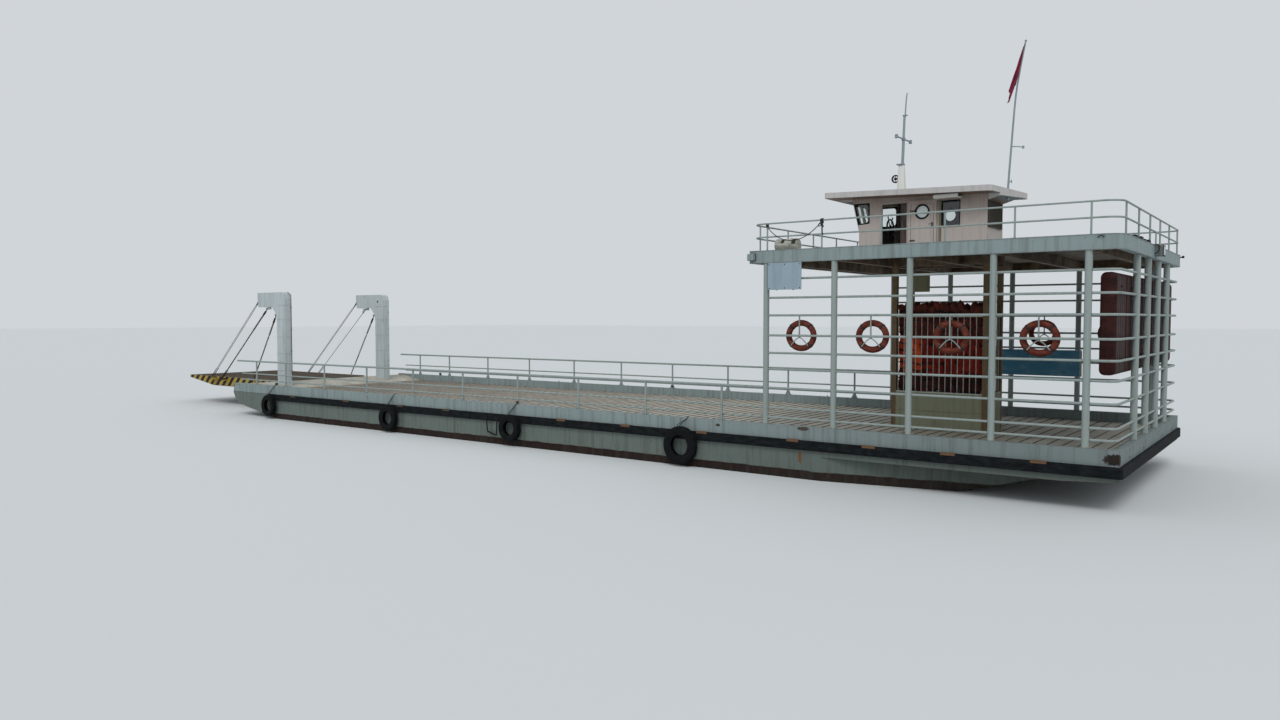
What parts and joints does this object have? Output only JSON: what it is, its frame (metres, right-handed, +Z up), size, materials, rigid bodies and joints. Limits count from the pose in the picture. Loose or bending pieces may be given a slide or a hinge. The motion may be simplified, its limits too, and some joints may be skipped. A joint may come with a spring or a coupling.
{
  "type": "passenger ferry",
  "caption": "River ferry with an open car deck, a barred aft deck under a roof deck, a small wheelhouse, gantry posts and a lowered bow ramp.",
  "frame": {"origin": "flat bottom of the hull, amidships on the centreline", "axes": "+X to the bow, +Y to port, +Z up"},
  "size_m": [39.77, 8.904, 11.683],
  "materials": {
    "hull_paint": "chalky grey-green paint, rusting at seams",
    "strake_rubber": "worn matt black",
    "tyre_rubber": "worn matt black",
    "ramp_steel": "worn paint and rust",
    "rail_paint": "pale grey gloss paint",
    "roof_paint": "blue-grey paint, streaked",
    "house_paint": "beige-pink grey paint",
    "casing_paint": "olive paint",
    "jacket_fabric": "faded orange-red nylon",
    "ring_plastic": "oxide red",
    "float_plastic": "dark oxide red-brown",
    "gantry_paint": "pale grey paint, rust at the welds",
    "line_steel": "greased dark wire and chain",
    "board_paint": "plain pale blue-grey",
    "banner_sheet": "plain blue sheet",
    "window_glass": "dark clear",
    "helm_wood": "varnished",
    "mast_paint": "off-white paint",
    "drum_paint": "pale grey paint, scuffed",
    "rope_fibre": "black laid rope",
    "flag_cloth": "plain weave",
    "propeller_bronze": "dull bronze"
  },
  "bodies": {
    "hull": {"hull": "hull_paint", "strake_port": "strake_rubber", "strake_starboard": "strake_rubber", "tyre_port_1": "tyre_rubber", "tyre_port_2": "tyre_rubber", "tyre_port_3": "tyre_rubber", "tyre_port_4": "tyre_rubber", "tyre_starboard_1": "tyre_rubber", "tyre_starboard_2": "tyre_rubber", "tyre_starboard_3": "tyre_rubber", "tyre_starboard_4": "tyre_rubber", "gantry_port": "gantry_paint", "side_rail_port": "rail_paint", "cage_port": "rail_paint", "gantry_starboard": "gantry_paint", "side_rail_starboard": "rail_paint", "cage_starboard": "rail_paint", "cage_stern": "rail_paint", "roof_deck": "roof_paint", "roof_rail": "rail_paint", "casing": "casing_paint", "life_jackets": "jacket_fabric", "ring_port_1": "ring_plastic", "ring_port_2": "ring_plastic", "ring_port_3": "ring_plastic", "ring_port_4": "ring_plastic", "ring_starboard_1": "ring_plastic", "ring_starboard_2": "ring_plastic", "ring_starboard_3": "ring_plastic", "ring_starboard_4": "ring_plastic", "floats": "float_plastic", "garland": "rope_fibre", "roof_drum": "drum_paint", "number_board": "board_paint", "banner_board": "banner_sheet", "house_port": "house_paint", "house_starboard": "house_paint", "house_front": "house_paint", "house_aft": "house_paint", "wheelhouse_roof": "house_paint", "aft_window": "window_glass", "helm": "helm_wood", "mast": "mast_paint", "flagstaff": "mast_paint", "flag": "flag_cloth"},
    "bow_ramp": {"bow_ramp": "ramp_steel"},
    "hoist_wire_port": {"hoist_wire_port": "line_steel"},
    "hoist_chain_port": {"hoist_chain_port": "line_steel"},
    "hoist_stay_port": {"hoist_stay_port": "line_steel"},
    "hoist_wire_starboard": {"hoist_wire_starboard": "line_steel"},
    "hoist_chain_starboard": {"hoist_chain_starboard": "line_steel"},
    "hoist_stay_starboard": {"hoist_stay_starboard": "line_steel"},
    "door_port": {"door_port": "house_paint"},
    "door_starboard": {"door_starboard": "house_paint"},
    "propeller_port": {"propeller_port": "propeller_bronze"},
    "propeller_starboard": {"propeller_starboard": "propeller_bronze"},
    "rudder_port": {"rudder_port": "hull_paint"},
    "rudder_starboard": {"rudder_starboard": "hull_paint"}
  },
  "joints": [
    {"name": "ramp_hinge", "type": "hinge", "parent": "hull", "child": "bow_ramp", "pos_m": [16.35, 0, 2], "axis": [0, -1, 0], "range_deg": [-5, 50]},
    {"name": "hoist_wire_port_pin", "type": "hinge", "parent": "hull", "child": "hoist_wire_port", "pos_m": [17.03, 2.46, 5.59], "axis": [0, -1, 0], "range_deg": [-4.51, 45.01], "deforming": ["hoist_wire_port"]},
    {"name": "hoist_chain_port_pin", "type": "hinge", "parent": "hull", "child": "hoist_chain_port", "pos_m": [16.4, 2.46, 5.26], "axis": [0, -1, 0], "range_deg": [-3.61, 36.01], "deforming": ["hoist_chain_port"]},
    {"name": "hoist_stay_port_pin", "type": "hinge", "parent": "hull", "child": "hoist_stay_port", "pos_m": [15.76, 2.46, 5], "axis": [0, -1, 0], "range_deg": [-4.51, 0.46], "deforming": ["hoist_stay_port"]},
    {"name": "hoist_wire_starboard_pin", "type": "hinge", "parent": "hull", "child": "hoist_wire_starboard", "pos_m": [17.03, -2.46, 5.59], "axis": [0, -1, 0], "range_deg": [-4.51, 45.01], "deforming": ["hoist_wire_starboard"]},
    {"name": "hoist_chain_starboard_pin", "type": "hinge", "parent": "hull", "child": "hoist_chain_starboard", "pos_m": [16.4, -2.46, 5.26], "axis": [0, -1, 0], "range_deg": [-3.61, 36.01], "deforming": ["hoist_chain_starboard"]},
    {"name": "hoist_stay_starboard_pin", "type": "hinge", "parent": "hull", "child": "hoist_stay_starboard", "pos_m": [15.76, -2.46, 5], "axis": [0, -1, 0], "range_deg": [-4.51, 0.46], "deforming": ["hoist_stay_starboard"]},
    {"name": "door_port_hinge", "type": "hinge", "parent": "hull", "child": "door_port", "pos_m": [-10.55, 0.685, 7.24], "axis": [0, 0, 1], "range_deg": [-180, 0]},
    {"name": "door_starboard_hinge", "type": "hinge", "parent": "hull", "child": "door_starboard", "pos_m": [-10.55, -0.685, 7.24], "axis": [0, 0, 1], "range_deg": [-180, 0]},
    {"name": "propeller_port_spin", "type": "hinge", "parent": "hull", "child": "propeller_port", "pos_m": [-12.7, 1.5, 0.43], "axis": [1, 0, 0], "continuous": true},
    {"name": "rudder_port_stock", "type": "hinge", "parent": "hull", "child": "rudder_port", "pos_m": [-13.65, 1.5, 0.9], "axis": [0, 0, 1], "range_deg": [-35, 35]},
    {"name": "propeller_starboard_spin", "type": "hinge", "parent": "hull", "child": "propeller_starboard", "pos_m": [-12.7, -1.5, 0.43], "axis": [1, 0, 0], "continuous": true},
    {"name": "rudder_starboard_stock", "type": "hinge", "parent": "hull", "child": "rudder_starboard", "pos_m": [-13.65, -1.5, 0.9], "axis": [0, 0, 1], "range_deg": [-35, 35]}
  ],
  "couplings": [
    {"joint": "hoist_wire_port_pin", "follows": "ramp_hinge", "ratio": 0.9},
    {"joint": "hoist_chain_port_pin", "follows": "ramp_hinge", "ratio": 0.72},
    {"joint": "hoist_stay_port_pin", "follows": "ramp_hinge", "ratio": -0.09},
    {"joint": "hoist_wire_starboard_pin", "follows": "ramp_hinge", "ratio": 0.9},
    {"joint": "hoist_chain_starboard_pin", "follows": "ramp_hinge", "ratio": 0.72},
    {"joint": "hoist_stay_starboard_pin", "follows": "ramp_hinge", "ratio": -0.09}
  ]
}
